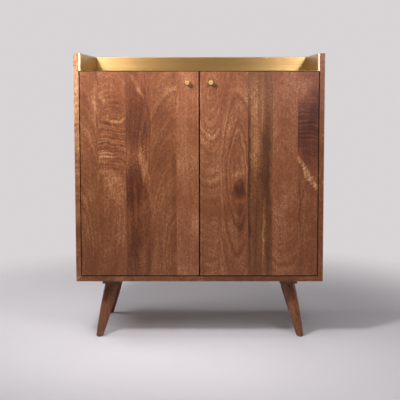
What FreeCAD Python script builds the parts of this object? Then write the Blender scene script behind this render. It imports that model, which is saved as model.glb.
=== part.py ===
"""Bar cabinet on splayed legs, with two inset doors under an open brass-lined tray.

Inside are a shelf whose front half folds out, a bottle rack, an adjustable shelf and hanging rails
for stemmed glasses. Millimetres. +X is to the right, +Y to the back and +Z up. The origin is on the
floor under the middle of the whole cabinet, knobs included.
"""

import FreeCAD
import Part

import os
from collections import namedtuple
from math import hypot

Vector = FreeCAD.Vector

# ---- Driving dimensions: case ----
WIDTH = 900.0
DEPTH = 450.0
HEIGHT = 1048.0
BOARD = 18.0  # thickness of the case boards
LEG_HEIGHT = 220.0  # floor to the underside of the case
EDGE_EASE = 1.0  # rounding of the edges that a hand meets
BACK_THICKNESS = 6.0
BACK_INSET = 6.0  # rear edges of the case to the back panel
GROOVE_DEPTH = 6.0  # groove that the back panel stands in
GROOVE_FIT = 0.1
SPLINE_THICKNESS = 3.0  # tongue across each mitred corner
SPLINE_WIDTH = 12.0
SPLINE_STOP = 30.0  # front and rear edges of the case to the ends of the tongue

# ---- Tray on top ----
TRAY_DEPTH = 61.5  # rim to the brass floor
SHEET = 1.5  # brass sheet
LINING = 7.0  # a lining: sheet folded over a wooden core
TRAY_FIT = 0.3  # round the floor sheet
RIM_ROUND = 2.5
RIM_ROUND_LIMIT = 0.45  # of the lining's thickness

# ---- Doors ----
DOOR_THICKNESS = 20.0
DOOR_SIDE_GAP = 3.0
DOOR_MIDDLE_GAP = 4.5
DOOR_TOP_GAP = 2.0
DOOR_BOTTOM_GAP = 4.0
TOP_BOARD_GAP = 2.0  # back of the doors to the front edge of the top board
KNOB_RADIUS = 8.2
KNOB_LENGTH = 21.0
KNOB_EDGE = 40.0  # meeting edge of the door to the knob's centre
KNOB_DROP = 40.0  # top edge of the door to the knob's centre
KNOB_THREAD_DEPTH = 9.0

# ---- Concealed cup hinges ----
HINGE_FROM_END = 90.0  # end of the door to the hinge's centre
PIN_FROM_EDGE = 23.0  # side edge of the door to the pin
PIN_FROM_FACE = 11.2  # front face of the door to the pin
SWING_GAP = 1.2  # left around the door's hinged edge as it turns behind the pin
PIN_RADIUS = 1.5
RUNNING_FIT = 0.05  # radial, pin in its hole
EYE_RADIUS = 3.0
CUP_FROM_EDGE = 22.0
CUP_RADIUS = 17.5
CUP_DEPTH = 13.0
CUP_WALL = 1.0
CUP_FLOOR = 0.8
FLANGE = 1.0
FLANGE_HALF_HEIGHT = 28.0
FLANGE_NEAR = 8.0  # cup's centre to the flange's edges, towards and away from the door's edge
FLANGE_FAR = 16.0
CUP_SCREW_OFFSET = 9.5
CUP_SCREW_SPACING = 45.0
ARM_THICKNESS = 3.0
ARM_HEIGHT = 12.0
ARM_STRAIGHT = 27.5  # pin to the arm's first bend
ARM_SLOPE = 20.0  # depth over which the arm comes down to the plate
ARM_END = 96.0  # front face of the door to the arm's rear end
ARM_NOTCH_GAP = 0.5
NOTCH_FROM_FACE = 5.0  # front face of the door to the bottom of the notch
NOTCH_PAST_PIN = 8.0  # the notch stops this far before the pin, inside the cup
PLATE_RISE = 7.0  # side board to the top of the plate's rib
PLATE_HEIGHT = 14.0
PLATE_START = 46.0
WING_THICKNESS = 2.0
WING_HEIGHT = 48.0
WING_WIDTH = 16.0
WING_FROM_FACE = 60.0  # front face of the door to the wing's centre
PLATE_SCREW_SPACING = 32.0

# ---- Magnetic catches ----
CATCH_X = 62.0
CATCH_WIDTH = 46.0
CATCH_DEPTH = 22.0
CATCH_HEIGHT = 14.0
CATCH_SCREW_SPACING = 34.0
CATCH_SCREW_DEPTH = 13.0  # front of the housing to its screws
MAGNET_WIDTH = 22.0
MAGNET_HEIGHT = 8.0
MAGNET_DEPTH = 12.0
MAGNET_PROUD = 0.6
STRIKE_WIDTH = 34.0
STRIKE_HEIGHT = 12.0
STRIKE_THICKNESS = 1.5
FACE_GAP = 0.3  # faces of different bodies that close on each other

# ---- Fold-out shelf ----
SHELF_HEIGHT = 600.0  # floor to the top face of the shelf
LEAF_BACK_GAP = 7.0  # back panel to the rear edge of the leaf, folded away
LEAF_SIDE_GAP = 2.0
STOW_GAP = 0.4  # leaf to fixed half, folded away
FINGER_NOTCH_RADIUS = 18.0
KNUCKLE_RADIUS = 3.0
LEAF_PIN_RADIUS = 1.25
KNUCKLE_GAP = 0.3
NECK_LAP = 1.0  # how far a knuckle's neck runs into its plate
KNUCKLE_COUNT = 5
BUTT_LENGTH = 64.0
BUTT_PLATE = 1.5
BUTT_PLATE_WIDTH = 22.0
BUTT_SCREW_SPACING = 44.0
BUTT_SPACING = 340.0
BUTT_COUNT = 3
CLEAT_WIDTH = 16.0
CLEAT_HEIGHT = 18.0
CLEAT_LENGTH = 64.0
CLEAT_SCREW_FROM_END = 14.0

# ---- Inside the lower compartments ----
RACK_COLUMNS = 4
RACK_ROWS = 3
RACK_BOARD = 9.0
RACK_FIT = 0.2  # each side of a halving joint, and the rack in the case
RACK_SETBACK = 120.0  # front plane to the rack
RACK_BACK_GAP = 8.0
INNER_SHELF_SETBACK = 60.0
INNER_SHELF_BACK_GAP = 4.0
INNER_SHELF_SIDE_GAP = 1.0
INNER_SHELF_HEIGHT = 410.0  # floor to the pins that carry it
PEG_RADIUS = 2.5
PEG_LENGTH = 17.0
PEG_SOCKET = 9.0
PEG_SETBACK = 112.0  # front plane to the front row of peg holes
PEG_BACK_SETBACK = 70.0  # back panel to the rear row
PEG_PITCH = 32.0
PEG_ROWS_EACH_WAY = 2

# ---- Hanging rails for stemmed glasses ----
HANGER_COUNT = 5
HANGER_PITCH = 100.0
HANGER_SETBACK = 60.0
HANGER_LENGTH = 300.0
STEM_WIDTH = 12.0
STEM_DROP = 22.0
LIP_WIDTH = 74.0
LIP_THICKNESS = 8.0
HANGER_SCREW_FROM_END = 50.0

# ---- Legs ----
LEG_TOP_FROM_SIDE = 120.0  # outer face of the case to the leg's centre at its top
LEG_TOP_FROM_FRONT = 101.0  # and from the front or back plane
LEG_SPLAY = 45.0  # how far the foot stands out from the top, sideways and lengthways
LEG_TOP_RADIUS = 25.0
LEG_MIDDLE_RADIUS = 21.2
LEG_FOOT_RADIUS = 12.5
RAIL_WIDTH = 66.0
RAIL_THICKNESS = 22.0
RAIL_INSET = 60.0  # front and back planes to the rail's ends
RAIL_ROUND = 4.0
RAIL_SCREW_FROM_END = 20.0
RAIL_SCREW_FROM_SIDE = 8.0
LEG_BOLT_RADIUS = 4.0
LEG_BOLT_IN_LEG = 32.0
INSERT_RADIUS = 6.0
INSERT_LENGTH = 13.0
GLIDE_RADIUS = 9.5
GLIDE_THICKNESS = 3.0
GLIDE_STEM_RADIUS = 2.0
GLIDE_STEM_LENGTH = 12.0

# ---- Fixings ----
FIXING_FIT = 0.05  # radial, in the holes of screws, dowels, pegs and bolts
HOLE_SPARE = 1.0  # how much deeper a blind hole is than what it holds
OVERCUT = 1.0  # how far a cutting shape runs out past the face it cuts
DOWEL_RADIUS = 4.0
DOWEL_IN_SIDE = 10.0
DOWEL_IN_BOARD = 18.0
DOWEL_FROM_EDGE = 45.0
STRAP_HOLE_RADIUS = 2.0
STRAP_HOLE_DEPTH = 12.0
STRAP_HOLE_SPACING = 600.0
STRAP_HOLE_DROP = 40.0  # rim to the holes for the wall straps

FINE_SHANK = 1.5  # radius of the screws for small hardware
STOUT_SHANK = 2.0  # and of those for boards and mounting plates
HEAD_RATIO = 1.9  # head to shank, across
HEAD_HEIGHT_RATIO = 1.1  # head's height to the shank's radius
SMALL_SCREW_LENGTH = 12.0
PLATE_SCREW_LENGTH = 13.0
BACK_SCREW_LENGTH = 20.0
CLEAT_SCREW_LENGTH = 28.0
RAIL_SCREW_LENGTH = 34.0
HANGER_SCREW_LENGTH = 35.0
CATCH_SCREW_LENGTH = 24.0
KNOB_SCREW_LENGTH = 28.0

Screw = namedtuple("Screw", "radius length countersunk")
SMALL_SCREW = Screw(FINE_SHANK, SMALL_SCREW_LENGTH, True)
PLATE_SCREW = Screw(STOUT_SHANK, PLATE_SCREW_LENGTH, True)
BACK_SCREW = Screw(FINE_SHANK, BACK_SCREW_LENGTH, True)
CLEAT_SCREW = Screw(STOUT_SHANK, CLEAT_SCREW_LENGTH, True)
RAIL_SCREW = Screw(STOUT_SHANK, RAIL_SCREW_LENGTH, True)
HANGER_SCREW = Screw(STOUT_SHANK, HANGER_SCREW_LENGTH, True)
CATCH_SCREW = Screw(FINE_SHANK, CATCH_SCREW_LENGTH, True)
KNOB_SCREW = Screw(STOUT_SHANK, KNOB_SCREW_LENGTH, False)

# ---- Planes that the pieces share ----
FRONT = (KNOB_LENGTH - DEPTH) / 2
BACK = FRONT + DEPTH
OUTER_FACE = WIDTH / 2
SIDE_FACE = OUTER_FACE - BOARD
CASE_FLOOR = LEG_HEIGHT + BOARD
TRAY_FLOOR = HEIGHT - TRAY_DEPTH
TOP_FACE = TRAY_FLOOR - SHEET
CEILING = TOP_FACE - BOARD
BACK_FACE = BACK - BACK_INSET - BACK_THICKNESS
TRAY_BACK = BACK - BOARD
RIM_RADIUS = min(RIM_ROUND, LINING * RIM_ROUND_LIMIT)

DOOR_BACK = FRONT + DOOR_THICKNESS
DOOR_OUTER = SIDE_FACE - DOOR_SIDE_GAP
DOOR_INNER = DOOR_MIDDLE_GAP / 2
DOOR_BOTTOM = CASE_FLOOR + DOOR_BOTTOM_GAP
DOOR_TOP = TOP_FACE - DOOR_TOP_GAP
KNOB_X = DOOR_INNER + KNOB_EDGE
KNOB_Z = DOOR_TOP - KNOB_DROP
PIN_X = DOOR_OUTER - PIN_FROM_EDGE
PIN_Y = FRONT + PIN_FROM_FACE
CUP_X = DOOR_OUTER - CUP_FROM_EDGE
EDGE_DEPTH = max(PIN_FROM_FACE, DOOR_THICKNESS - PIN_FROM_FACE)
SWING_RADIUS = hypot(PIN_FROM_EDGE, EDGE_DEPTH) + SWING_GAP
HINGE_HEIGHTS = (DOOR_BOTTOM + HINGE_FROM_END, DOOR_TOP - HINGE_FROM_END)
TOP_BOARD_FRONT = DOOR_BACK + TOP_BOARD_GAP
CATCH_FRONT = DOOR_BACK + STRIKE_THICKNESS + FACE_GAP + MAGNET_PROUD

LEAF_FRONT = PIN_Y + SWING_RADIUS  # front edge of the leaf, folded out
LEAF_AXIS_Y = (LEAF_FRONT + BACK_FACE - LEAF_BACK_GAP) / 2
LEAF_AXIS_Z = SHELF_HEIGHT + STOW_GAP / 2
LEAF_LOW = SHELF_HEIGHT + STOW_GAP
LEAF_THICKNESS = BOARD - STOW_GAP
LEAF_EDGE_GAP = KNUCKLE_RADIUS + KNUCKLE_GAP
SHELF_UNDERSIDE = SHELF_HEIGHT - BOARD
BUTT_PLACES = [(i - (BUTT_COUNT - 1) / 2) * BUTT_SPACING for i in range(BUTT_COUNT)]

RACK_LEFT = -SIDE_FACE + RACK_FIT
RACK_RIGHT = -BOARD / 2 - RACK_FIT
RACK_TOP = SHELF_UNDERSIDE - RACK_FIT
RACK_FRONT = FRONT + RACK_SETBACK
RACK_BACK = BACK_FACE - RACK_BACK_GAP
RACK_CELL_WIDTH = (RACK_RIGHT - RACK_LEFT - (RACK_COLUMNS - 1) * RACK_BOARD) / RACK_COLUMNS
RACK_CELL_HEIGHT = (RACK_TOP - CASE_FLOOR - (RACK_ROWS - 1) * RACK_BOARD) / RACK_ROWS
INNER_SHELF_BOTTOM = INNER_SHELF_HEIGHT + PEG_RADIUS
PEG_DEPTHS = (FRONT + PEG_SETBACK, BACK_FACE - PEG_BACK_SETBACK)

HANGER_PLACES = [(i - (HANGER_COUNT - 1) / 2) * HANGER_PITCH for i in range(HANGER_COUNT)]
STEM_BOTTOM = CEILING - STEM_DROP

RAIL_BOTTOM = LEG_HEIGHT - RAIL_THICKNESS
LEG_TOP_X = OUTER_FACE - LEG_TOP_FROM_SIDE
LEG_LEAN = Vector(LEG_SPLAY, LEG_SPLAY, -RAIL_BOTTOM).normalize()  # a rear right leg, pointing down

RIGHTWARD = Vector(1, 0, 0)
BACKWARD = Vector(0, 1, 0)
UPWARD = Vector(0, 0, 1)


# ---- Shapes ----
def block(x, y, z):
    """A box given by its low and high ends along each axis."""
    return Part.makeBox(x[1] - x[0], y[1] - y[0], z[1] - z[0], Vector(x[0], y[0], z[0]))


def rod(start, direction, radius, length):
    return Part.makeCylinder(radius, length, start, direction)


def prism(outline, y):
    """A board whose outline is given in X and Z, between two depths."""
    points = [Vector(px, y[0], pz) for px, pz in outline]
    face = Part.Face(Part.makePolygon(points + points[:1]))
    return face.extrude(Vector(0, y[1] - y[0], 0))


def mirrored(shape):
    """The same shape on the other side of the cabinet."""
    return shape.mirror(Vector(0, 0, 0), RIGHTWARD)


def both_sides(shapes):
    return shapes + [mirrored(shape) for shape in shapes]


def eased(shape, wanted, radius=EDGE_EASE):
    """Rounds the straight edges whose middle and direction the test accepts."""
    edges = []
    for edge in shape.Edges:
        middle = edge.valueAt((edge.FirstParameter + edge.LastParameter) / 2)
        if wanted(middle):
            edges.append(edge)
    return shape.makeFillet(radius, edges)


def near(a, b):
    return abs(a - b) < 0.01


# ---- Fixings ----
def screw(kind, seat, direction, fit=0.0, spare=0.0):
    """A screw driven from its seat on a face; a countersunk head lies under the face."""
    head_radius = kind.radius * HEAD_RATIO + fit
    head_height = kind.radius * HEAD_HEIGHT_RATIO
    shank = rod(seat, direction, kind.radius + fit, kind.length + spare)
    if kind.countersunk:
        head = Part.makeCone(head_radius, kind.radius + fit, head_height, seat, direction)
    else:
        head = rod(seat, -direction, head_radius, head_height)
    return shank.fuse(head)


def screw_hole(kind, seat, direction):
    return screw(kind, seat, direction, FIXING_FIT, HOLE_SPARE)


def dowel(joint, direction, spare=0.0, fit=0.0):
    """A dowel across a joint, pointing into the side board or whatever takes its shorter end."""
    start = joint - direction * (DOWEL_IN_BOARD + spare)
    return rod(start, direction, DOWEL_RADIUS + fit, DOWEL_IN_BOARD + DOWEL_IN_SIDE + 2 * spare)


def dowel_hole(joint, direction):
    return dowel(joint, direction, HOLE_SPARE, FIXING_FIT)


def right_side_dowels():
    """Places of the dowels between the right side board and what meets it."""
    top_middle = TOP_FACE - BOARD / 2
    shelf_middle = SHELF_HEIGHT - BOARD / 2
    rail_middle = BACK - BOARD / 2
    fixed_front = LEAF_AXIS_Y + DOWEL_FROM_EDGE
    places = [(y, top_middle) for y in (TOP_BOARD_FRONT + DOWEL_FROM_EDGE, TRAY_BACK - DOWEL_FROM_EDGE)]
    places += [(y, shelf_middle) for y in (fixed_front, BACK_FACE - DOWEL_FROM_EDGE)]
    places += [(rail_middle, z) for z in (CEILING + BOARD, HEIGHT - BOARD)]
    return [Vector(SIDE_FACE, y, z) for y, z in places]


def divider_dowels():
    depths = (LEAF_FRONT + DOWEL_FROM_EDGE, BACK_FACE - DOWEL_FROM_EDGE)
    return [Vector(0, y, CASE_FLOOR) for y in depths]


def right_plate_screws():
    """Seats of the screws that hold the right-hand hinge plates, on the plates' wings."""
    seats = []
    for z in HINGE_HEIGHTS:
        for side in (-1, 1):
            height = z + side * PLATE_SCREW_SPACING / 2
            seats.append(Vector(SIDE_FACE - WING_THICKNESS, FRONT + WING_FROM_FACE, height))
    return seats


def right_cup_screws():
    """Seats of the screws that hold the right-hand hinge cups, on their flanges."""
    x = CUP_X - CUP_SCREW_OFFSET
    seats = []
    for z in HINGE_HEIGHTS:
        for side in (-1, 1):
            seats.append(Vector(x, DOOR_BACK + FLANGE, z + side * CUP_SCREW_SPACING / 2))
    return seats


def right_cleat_screws():
    x = SIDE_FACE - CLEAT_WIDTH
    z = SHELF_UNDERSIDE - CLEAT_HEIGHT / 2
    depths = (LEAF_FRONT + CLEAT_SCREW_FROM_END, LEAF_FRONT + CLEAT_LENGTH - CLEAT_SCREW_FROM_END)
    return [Vector(x, y, z) for y in depths]


def right_rail_screws():
    seats = []
    for y in (FRONT + RAIL_INSET + RAIL_SCREW_FROM_END, BACK - RAIL_INSET - RAIL_SCREW_FROM_END):
        for side in (-1, 1):
            x = LEG_TOP_X + side * (RAIL_WIDTH / 2 - RAIL_SCREW_FROM_SIDE)
            seats.append(Vector(x, y, RAIL_BOTTOM))
    return seats


def hanger_screws():
    """Seats of the screws down through the top board into the hanging rails."""
    ends = (HANGER_SCREW_FROM_END, HANGER_LENGTH - HANGER_SCREW_FROM_END)
    start = FRONT + HANGER_SETBACK
    return [Vector(x, start + end, TOP_FACE) for x in HANGER_PLACES for end in ends]


def right_catch_screws():
    y = CATCH_FRONT + CATCH_SCREW_DEPTH
    z = CEILING - CATCH_HEIGHT
    return [Vector(CATCH_X + side * CATCH_SCREW_SPACING / 2, y, z) for side in (-1, 1)]


def back_screws():
    """Seats of the screws through the back panel into the shelf and the divider."""
    y = BACK - BACK_INSET
    shelf_middle = SHELF_HEIGHT - BOARD / 2
    seats = [Vector(x, y, shelf_middle) for x in (-SIDE_FACE / 2, SIDE_FACE / 2)]
    drop = (SHELF_UNDERSIDE - CASE_FLOOR) / 4
    seats += [Vector(0, y, z) for z in (CASE_FLOOR + drop, SHELF_UNDERSIDE - drop)]
    return seats


def fixed_butt_screws():
    """Seats of the screws in the fixed plates of the shelf's hinges."""
    y = LEAF_AXIS_Y + LEAF_EDGE_GAP + BUTT_PLATE_WIDTH / 2
    return [
        Vector(x + side * BUTT_SCREW_SPACING / 2, y, SHELF_HEIGHT)
        for x in BUTT_PLACES
        for side in (-1, 1)
    ]


def leaf_butt_screws():
    return [Vector(seat.x, seat.y, LEAF_LOW) for seat in fixed_butt_screws()]


def knob_screw_seat():
    return Vector(KNOB_X, DOOR_BACK, KNOB_Z)


def strike_screw_seat():
    return Vector(CATCH_X, DOOR_BACK + STRIKE_THICKNESS, CEILING - CATCH_HEIGHT / 2)


def wall_strap_holes():
    """Holes in the back rail for screwing the cabinet to a wall with straps."""
    z = HEIGHT - STRAP_HOLE_DROP
    return [
        rod(Vector(side * STRAP_HOLE_SPACING / 2, BACK, z), -BACKWARD, STRAP_HOLE_RADIUS, STRAP_HOLE_DEPTH)
        for side in (-1, 1)
    ]


# ---- Case ----
def mitre_spline(grow=0.0):
    """The tongue across the mitred corner at the lower right."""
    width = SPLINE_WIDTH + 2 * grow
    thickness = SPLINE_THICKNESS + 2 * grow
    tongue = block(
        (-width / 2, width / 2),
        (FRONT + SPLINE_STOP - grow, BACK - SPLINE_STOP + grow),
        (-thickness / 2, thickness / 2),
    )
    tongue.rotate(Vector(0, 0, 0), BACKWARD, -45)
    middle = Vector(SIDE_FACE + BOARD / 2, 0, LEG_HEIGHT + BOARD / 2)
    tongue.translate(middle)
    return tongue


def peg_holes(face_x, direction):
    """Two columns of holes for shelf pegs in one face."""
    holes = []
    for y in PEG_DEPTHS:
        for row in range(-PEG_ROWS_EACH_WAY, PEG_ROWS_EACH_WAY + 1):
            mouth = Vector(face_x, y, INNER_SHELF_HEIGHT + row * PEG_PITCH)
            holes.append(rod(mouth, direction, PEG_RADIUS + FIXING_FIT, PEG_SOCKET + HOLE_SPARE))
    return holes


def plain_right_side():
    outline = [
        (OUTER_FACE, LEG_HEIGHT),
        (OUTER_FACE, HEIGHT),
        (SIDE_FACE, HEIGHT),
        (SIDE_FACE, CASE_FLOOR),
    ]
    board = prism(outline, (FRONT, BACK))
    board = eased(
        board,
        lambda p: near(p.z, HEIGHT) or (near(p.y, FRONT) and p.z > CASE_FLOOR),
    )
    groove = block(
        (SIDE_FACE - OVERCUT, SIDE_FACE + GROOVE_DEPTH),
        (BACK_FACE - GROOVE_FIT, BACK - BACK_INSET + GROOVE_FIT),
        (CASE_FLOOR - GROOVE_DEPTH, CEILING + GROOVE_DEPTH),
    )
    cuts = [groove, mitre_spline(GROOVE_FIT)]
    cuts += [dowel_hole(joint, RIGHTWARD) for joint in right_side_dowels()]
    cuts += [screw_hole(PLATE_SCREW, seat, RIGHTWARD) for seat in right_plate_screws()]
    cuts += [screw_hole(CLEAT_SCREW, seat, RIGHTWARD) for seat in right_cleat_screws()]
    return board.cut(cuts)


def side_board_left():
    return mirrored(plain_right_side())


def side_board_right():
    return plain_right_side().cut(peg_holes(SIDE_FACE, RIGHTWARD))


def bottom_board():
    outline = [
        (-OUTER_FACE, LEG_HEIGHT),
        (OUTER_FACE, LEG_HEIGHT),
        (SIDE_FACE, CASE_FLOOR),
        (-SIDE_FACE, CASE_FLOOR),
    ]
    board = prism(outline, (FRONT, BACK))
    board = eased(board, lambda p: near(p.y, FRONT) and near(p.x, 0))
    cuts = [
        block(
            (-SIDE_FACE - GROOVE_DEPTH, SIDE_FACE + GROOVE_DEPTH),
            (BACK_FACE - GROOVE_FIT, BACK - BACK_INSET + GROOVE_FIT),
            (CASE_FLOOR - GROOVE_DEPTH, CASE_FLOOR + OVERCUT),
        )
    ]
    cuts += both_sides([mitre_spline(GROOVE_FIT)])
    cuts += [dowel_hole(joint, -UPWARD) for joint in divider_dowels()]
    cuts += both_sides([screw_hole(RAIL_SCREW, seat, UPWARD) for seat in right_rail_screws()])
    return board.cut(cuts)


def top_board():
    """The board under the brass floor, relieved at its front corners for the doors' swing."""
    board = block((-SIDE_FACE, SIDE_FACE), (TOP_BOARD_FRONT, TRAY_BACK), (CEILING, TOP_FACE))
    relief = rod(Vector(PIN_X, PIN_Y, CEILING), UPWARD, SWING_RADIUS, BOARD)
    cuts = both_sides([relief])
    cuts += both_sides([dowel_hole(joint, RIGHTWARD) for joint in right_side_dowels()])
    cuts += [screw_hole(HANGER_SCREW, seat, -UPWARD) for seat in hanger_screws()]
    cuts += both_sides([screw_hole(CATCH_SCREW, seat, UPWARD) for seat in right_catch_screws()])
    return board.cut(cuts)


def back_rail():
    """The board behind the tray, which also holds the top of the back panel."""
    board = block((-SIDE_FACE, SIDE_FACE), (TRAY_BACK, BACK), (CEILING, HEIGHT))
    board = eased(board, lambda p: near(p.z, HEIGHT) and near(p.x, 0))
    cuts = [
        block(
            (-SIDE_FACE, SIDE_FACE),
            (BACK_FACE - GROOVE_FIT, BACK - BACK_INSET + GROOVE_FIT),
            (CEILING - OVERCUT, CEILING + GROOVE_DEPTH),
        )
    ]
    cuts += both_sides([dowel_hole(joint, RIGHTWARD) for joint in right_side_dowels()])
    cuts += wall_strap_holes()
    return board.cut(cuts)


def back_panel():
    reach = SIDE_FACE + GROOVE_DEPTH - GROOVE_FIT
    board = block(
        (-reach, reach),
        (BACK_FACE, BACK - BACK_INSET),
        (CASE_FLOOR - GROOVE_DEPTH + GROOVE_FIT, CEILING + GROOVE_DEPTH - GROOVE_FIT),
    )
    return board.cut([screw_hole(BACK_SCREW, seat, -BACKWARD) for seat in back_screws()])


def mitre_splines():
    return Part.makeCompound(both_sides([mitre_spline()]))


def case_dowels():
    pegs = both_sides([dowel(joint, RIGHTWARD) for joint in right_side_dowels()])
    pegs += [dowel(joint, -UPWARD) for joint in divider_dowels()]
    return Part.makeCompound(pegs)


# ---- Tray ----
def tray_floor():
    """A sheet lying between the linings, out to the case's front."""
    reach = SIDE_FACE - LINING - TRAY_FIT
    return block((-reach, reach), (FRONT, TRAY_BACK - LINING - TRAY_FIT), (TOP_FACE, TRAY_FLOOR))


def right_lining():
    """Sheet folded over the core's inner face, top, outer face and front end."""
    outside = block((SIDE_FACE - LINING, SIDE_FACE), (FRONT, TRAY_BACK), (TOP_FACE, HEIGHT))
    outside = eased(
        outside,
        lambda p: near(p.z, HEIGHT) and not near(p.y, TRAY_BACK),
        RIM_RADIUS,
    )
    return outside.cut(right_lining_core())


def right_lining_core():
    return block(
        (SIDE_FACE - LINING + SHEET, SIDE_FACE - SHEET),
        (FRONT + SHEET, TRAY_BACK),
        (TOP_FACE, HEIGHT - RIM_RADIUS),
    )


def back_lining():
    reach = SIDE_FACE - LINING
    outside = block((-reach, reach), (TRAY_BACK - LINING, TRAY_BACK), (TOP_FACE, HEIGHT))
    outside = eased(
        outside,
        lambda p: near(p.z, HEIGHT) and near(p.x, 0),
        RIM_RADIUS,
    )
    return outside.cut(back_lining_core())


def back_lining_core():
    reach = SIDE_FACE - LINING
    return block(
        (-reach, reach),
        (TRAY_BACK - LINING + SHEET, TRAY_BACK - SHEET),
        (TOP_FACE, HEIGHT - RIM_RADIUS),
    )


# ---- Legs ----
def at_each_leg(shape):
    """Copies of a rear right leg's piece at the four corners, in a named order."""
    middle = Vector(0, (FRONT + BACK) / 2, 0)
    front = shape.mirror(middle, BACKWARD)
    return {
        "rear_right": shape,
        "rear_left": mirrored(shape),
        "front_right": front,
        "front_left": mirrored(front),
    }


def leg_top():
    return Vector(LEG_TOP_X, BACK - LEG_TOP_FROM_FRONT, RAIL_BOTTOM)


def leg_foot():
    return leg_top() + Vector(LEG_SPLAY, LEG_SPLAY, -RAIL_BOTTOM)


def leg_bolt_hole():
    start = leg_top() - LEG_LEAN * LEG_BOLT_RADIUS
    length = LEG_BOLT_RADIUS + LEG_BOLT_IN_LEG + HOLE_SPARE
    return rod(start, LEG_LEAN, LEG_BOLT_RADIUS + FIXING_FIT, length)


def rear_right_leg():
    """A turned leg: full at the top and swelling gently before it narrows to the foot."""
    length = (leg_foot() - leg_top()).Length
    over = LEG_TOP_RADIUS  # left on past each end, for the level cuts
    top = Vector(LEG_TOP_RADIUS, 0, 0)
    middle = Vector(LEG_MIDDLE_RADIUS, 0, length / 2)
    foot = Vector(LEG_FOOT_RADIUS, 0, length)
    outline = [
        Part.makeLine(Vector(0, 0, -over), Vector(LEG_TOP_RADIUS, 0, -over)),
        Part.makeLine(Vector(LEG_TOP_RADIUS, 0, -over), top),
        Part.Arc(top, middle, foot).toShape(),
        Part.makeLine(foot, Vector(LEG_FOOT_RADIUS, 0, length + over)),
        Part.makeLine(Vector(LEG_FOOT_RADIUS, 0, length + over), Vector(0, 0, length + over)),
        Part.makeLine(Vector(0, 0, length + over), Vector(0, 0, -over)),
    ]
    turned = Part.Face(Part.Wire(outline)).revolve(Vector(0, 0, 0), UPWARD, 360)
    turned.Placement = FreeCAD.Placement(leg_top(), FreeCAD.Rotation(UPWARD, LEG_LEAN))
    reach = LEG_SPLAY + LEG_TOP_RADIUS * 2
    slab = block(
        (LEG_TOP_X - reach, LEG_TOP_X + reach),
        (leg_top().y - reach, leg_top().y + reach),
        (GLIDE_THICKNESS, RAIL_BOTTOM),
    )
    return turned.common(slab).cut([leg_bolt_hole(), glide_stem(FIXING_FIT, HOLE_SPARE)])


def glide_stem(fit=0.0, spare=0.0):
    start = Vector(leg_foot().x, leg_foot().y, GLIDE_THICKNESS)
    return rod(start, UPWARD, GLIDE_STEM_RADIUS + fit, GLIDE_STEM_LENGTH + spare)


def rear_right_glide():
    start = Vector(leg_foot().x, leg_foot().y, 0)
    disc = rod(start, UPWARD, GLIDE_RADIUS, GLIDE_THICKNESS)
    rim = [edge for edge in disc.Edges if near(edge.BoundBox.ZMax, 0)]
    return disc.makeFillet(EDGE_EASE, rim).fuse(glide_stem())


def insert_blank(fit=0.0, spare=0.0):
    """A plain insert in line with its leg, left long below the rail."""
    start = leg_top() - LEG_LEAN * (INSERT_LENGTH + spare)
    return rod(start, LEG_LEAN, INSERT_RADIUS + fit, INSERT_LENGTH + spare + INSERT_RADIUS)


def rear_right_insert():
    """A threaded insert, cut level with the underside of its rail."""
    above = block(
        (LEG_TOP_X - RAIL_WIDTH, LEG_TOP_X + RAIL_WIDTH),
        (leg_top().y - RAIL_WIDTH, leg_top().y + RAIL_WIDTH),
        (RAIL_BOTTOM, LEG_HEIGHT),
    )
    thread = rod(
        leg_top() - LEG_LEAN * INSERT_LENGTH * 2,
        LEG_LEAN,
        LEG_BOLT_RADIUS + FIXING_FIT,
        INSERT_LENGTH * 3,
    )
    return insert_blank().common(above).cut(thread)


def rear_right_bolt():
    start = leg_top() - LEG_LEAN * INSERT_LENGTH
    return rod(start, LEG_LEAN, LEG_BOLT_RADIUS, INSERT_LENGTH + LEG_BOLT_IN_LEG)


def leg_rail_right():
    """The board under the case that a front and a rear leg are bolted to."""
    board = block(
        (LEG_TOP_X - RAIL_WIDTH / 2, LEG_TOP_X + RAIL_WIDTH / 2),
        (FRONT + RAIL_INSET, BACK - RAIL_INSET),
        (RAIL_BOTTOM, LEG_HEIGHT),
    )
    middle = (RAIL_BOTTOM + LEG_HEIGHT) / 2
    board = eased(board, lambda p: near(p.z, middle), RAIL_ROUND)
    inserts = at_each_leg(insert_blank(FIXING_FIT, HOLE_SPARE))
    cuts = [inserts["rear_right"], inserts["front_right"]]
    cuts += [screw_hole(RAIL_SCREW, seat, UPWARD) for seat in right_rail_screws()]
    return board.cut(cuts)


# ---- Inside ----
def centre_divider():
    board = block((-BOARD / 2, BOARD / 2), (LEAF_FRONT, BACK_FACE), (CASE_FLOOR, SHELF_UNDERSIDE))
    cuts = [dowel_hole(joint, -UPWARD) for joint in divider_dowels()]
    cuts += peg_holes(BOARD / 2, -RIGHTWARD)
    cuts += [screw_hole(BACK_SCREW, seat, -BACKWARD) for seat in back_screws()]
    return board.cut(cuts)


def fixed_shelf():
    """The rear half of the fold-out shelf, which carries the leaf's hinges."""
    board = block(
        (-SIDE_FACE, SIDE_FACE),
        (LEAF_AXIS_Y + LEAF_EDGE_GAP, BACK_FACE),
        (SHELF_UNDERSIDE, SHELF_HEIGHT),
    )
    cuts = [fixed_plate_recess(x) for x in BUTT_PLACES]
    cuts += [screw_hole(SMALL_SCREW, seat, -UPWARD) for seat in fixed_butt_screws()]
    cuts += both_sides([dowel_hole(joint, RIGHTWARD) for joint in right_side_dowels()])
    cuts += [screw_hole(BACK_SCREW, seat, -BACKWARD) for seat in back_screws()]
    return board.cut(cuts)


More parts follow.
